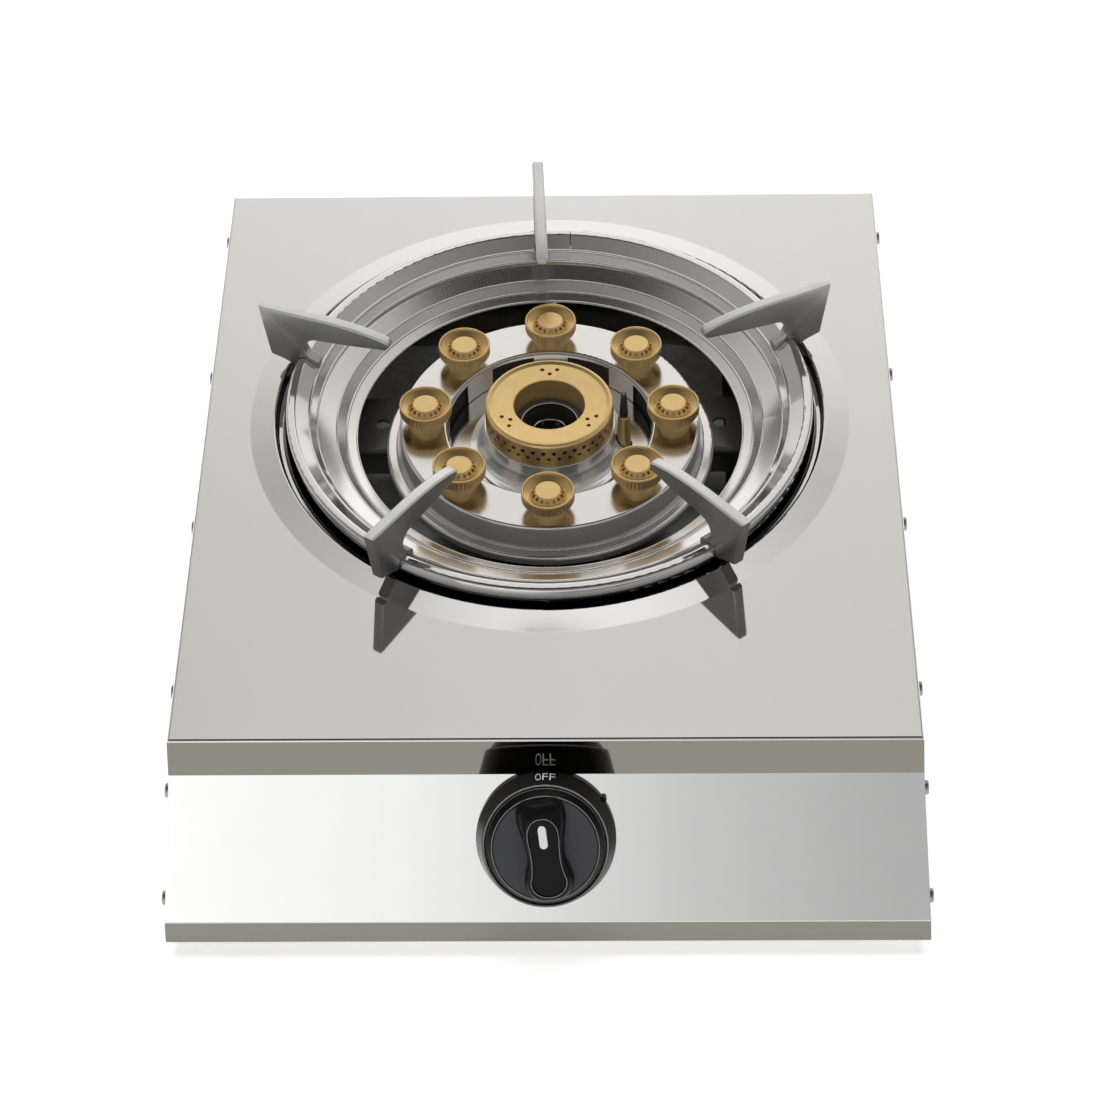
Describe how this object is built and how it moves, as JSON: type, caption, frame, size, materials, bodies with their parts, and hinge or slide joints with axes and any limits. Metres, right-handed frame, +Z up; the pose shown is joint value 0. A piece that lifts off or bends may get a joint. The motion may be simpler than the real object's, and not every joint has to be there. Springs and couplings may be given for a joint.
{
  "type": "single burner gas stove",
  "caption": "Table-top gas stove with one brass burner, a clawed pan support ring, a drip tray and a push-and-turn knob on a sloping stainless front.",
  "frame": {"origin": "on the floor under the middle of the outline, knob and hose tail included", "axes": "+Z up, -Y out of the knob's side, +X to the right as seen from the knob's side"},
  "size_m": [0.3136, 0.4148, 0.1303],
  "materials": {
    "polished_steel": "mirror polished stainless sheet",
    "tray_steel": "bright stainless pressing",
    "ring_steel": "polished rolled strip",
    "claw_metal": "smooth silver-grey coated casting",
    "burner_steel": "satin stainless pressing",
    "brass": "turned brass",
    "cast_iron": "as cast, dark",
    "zinc_steel": "zinc-plated sheet",
    "screw_steel": "plated",
    "spring_steel": "drawn wire",
    "cast_aluminium": "as cast",
    "dark_metal": "oxidised",
    "white_ceramic": "smooth",
    "black_plastic": "satin moulded",
    "grey_plastic": "moulded",
    "white_plastic": "moulded",
    "black_rubber": "moulded",
    "lead_silicone": "extruded"
  },
  "bodies": {
    "base": {"top_panel": "polished_steel", "front_panel": "polished_steel", "left_side_panel": "polished_steel", "right_side_panel": "polished_steel", "rear_panel": "polished_steel", "burner_cover": "burner_steel", "burner_well": "burner_steel", "burner_post": "burner_steel", "flame_nozzle_1": "brass", "flame_nozzle_2": "brass", "flame_nozzle_3": "brass", "flame_nozzle_4": "brass", "flame_nozzle_5": "brass", "flame_nozzle_6": "brass", "flame_nozzle_7": "brass", "flame_nozzle_8": "brass", "igniter_sleeve": "brass", "outer_jet": "brass", "inner_jet": "brass", "inlet_fitting": "brass", "inlet_nut": "brass", "burner_body": "cast_iron", "base_plate": "zinc_steel", "burner_crossbar": "zinc_steel", "heat_shield": "zinc_steel", "mixing_tube_stand": "zinc_steel", "valve_bracket": "zinc_steel", "side_screws": "screw_steel", "foot_screws": "screw_steel", "burner_screws": "screw_steel", "valve_spring": "spring_steel", "gas_valve": "cast_aluminium", "gas_pipe": "cast_aluminium", "igniter_electrode": "dark_metal", "igniter_insulator": "white_ceramic", "knob_bezel": "black_plastic", "piezo_igniter": "grey_plastic", "rubber_foot_1": "black_rubber", "rubber_foot_2": "black_rubber", "rubber_foot_3": "black_rubber", "rubber_foot_4": "black_rubber", "ignition_lead": "lead_silicone"},
    "knob_slider": {"spindle_washer": "zinc_steel"},
    "knob": {"knob": "black_plastic", "knob_mark": "white_plastic", "valve_spindle": "zinc_steel"},
    "drip_tray": {"drip_tray": "tray_steel"},
    "pan_support": {"pan_support_ring": "ring_steel", "claw_1": "claw_metal", "claw_2": "claw_metal", "claw_3": "claw_metal", "claw_4": "claw_metal", "claw_5": "claw_metal"},
    "burner_cap": {"burner_cap": "brass"},
    "outer_air_shutter": {"outer_air_shutter": "zinc_steel"},
    "inner_air_shutter": {"inner_air_shutter": "zinc_steel"}
  },
  "joints": [
    {"name": "knob_push", "type": "slide", "parent": "base", "child": "knob_slider", "axis": [0, 0.8192, -0.5736], "range_m": [0, 0.003], "stiffness_N_per_m": 1200, "springref_m": -0.0025, "deforming": ["valve_spring"]},
    {"name": "knob_turn", "type": "hinge", "parent": "knob_slider", "child": "knob", "pos_m": [0, -0.17636, 0.05266], "axis": [0, -0.8192, 0.5736], "range_deg": [0, 180]},
    {"name": "tray_lift", "type": "slide", "parent": "base", "child": "drip_tray", "axis": [0, 0, 1], "range_m": [0, 0.06]},
    {"name": "support_lift", "type": "slide", "parent": "drip_tray", "child": "pan_support", "axis": [0, 0, 1], "range_m": [0, 0.06]},
    {"name": "cap_lift", "type": "slide", "parent": "base", "child": "burner_cap", "axis": [0, 0, 1], "range_m": [0, 0.03]},
    {"name": "outer_shutter_turn", "type": "hinge", "parent": "base", "child": "outer_air_shutter", "pos_m": [0.014, -0.10794, 0.03844], "axis": [0, 1, 0], "range_deg": [0, 60]},
    {"name": "inner_shutter_turn", "type": "hinge", "parent": "base", "child": "inner_air_shutter", "pos_m": [-0.014, -0.10794, 0.03844], "axis": [0, 1, 0], "range_deg": [0, 60]}
  ]
}
